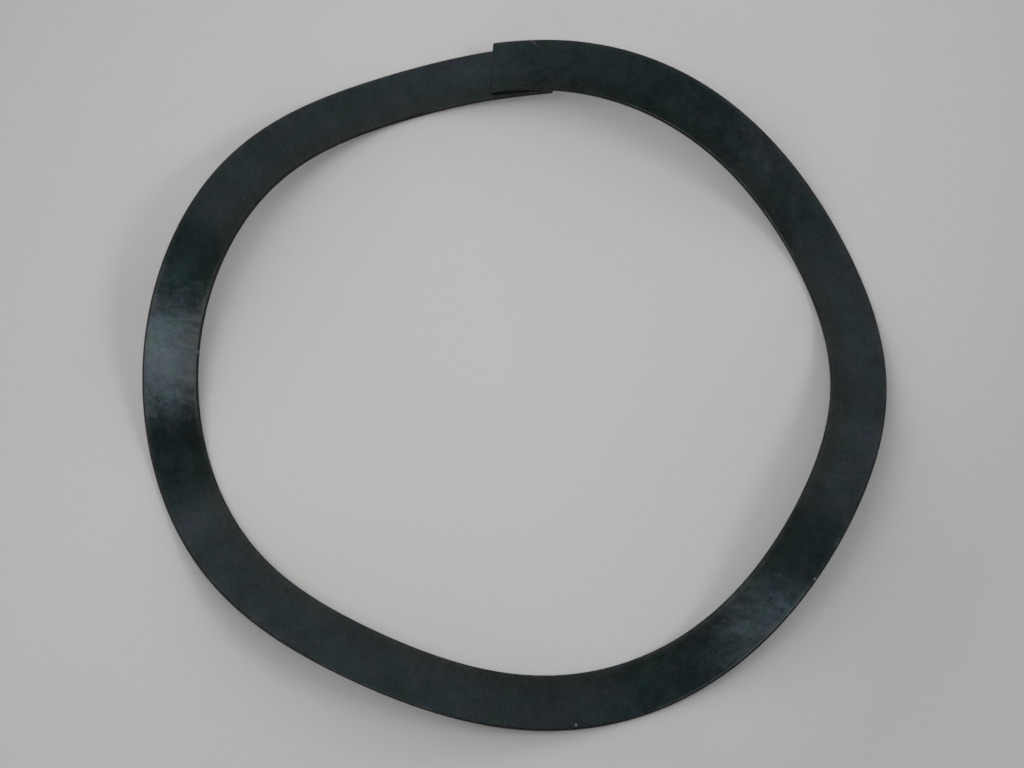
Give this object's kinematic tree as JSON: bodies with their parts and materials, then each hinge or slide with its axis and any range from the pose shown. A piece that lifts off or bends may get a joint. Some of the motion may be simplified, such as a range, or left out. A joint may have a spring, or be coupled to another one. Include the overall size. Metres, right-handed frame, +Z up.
{
  "type": "wave spring",
  "caption": "Single-turn wave spring: a flat steel strip wound on edge into a waved ring whose cut ends lap over each other.",
  "frame": {"origin": "centre of the ring, on the surface that its valleys stand on", "axes": "+Z up along the ring's axis, the way it is compressed; +Y towards the cut of the upper end; the strip runs clockwise from there, seen from above, down to the lower end"},
  "size_m": [0.1012, 0.1005, 0.0089],
  "materials": {
    "spring_steel": "blue-black tempered oxide, satin"
  },
  "bodies": {
    "root": {"wave_spring": "spring_steel"}
  },
  "joints": []
}
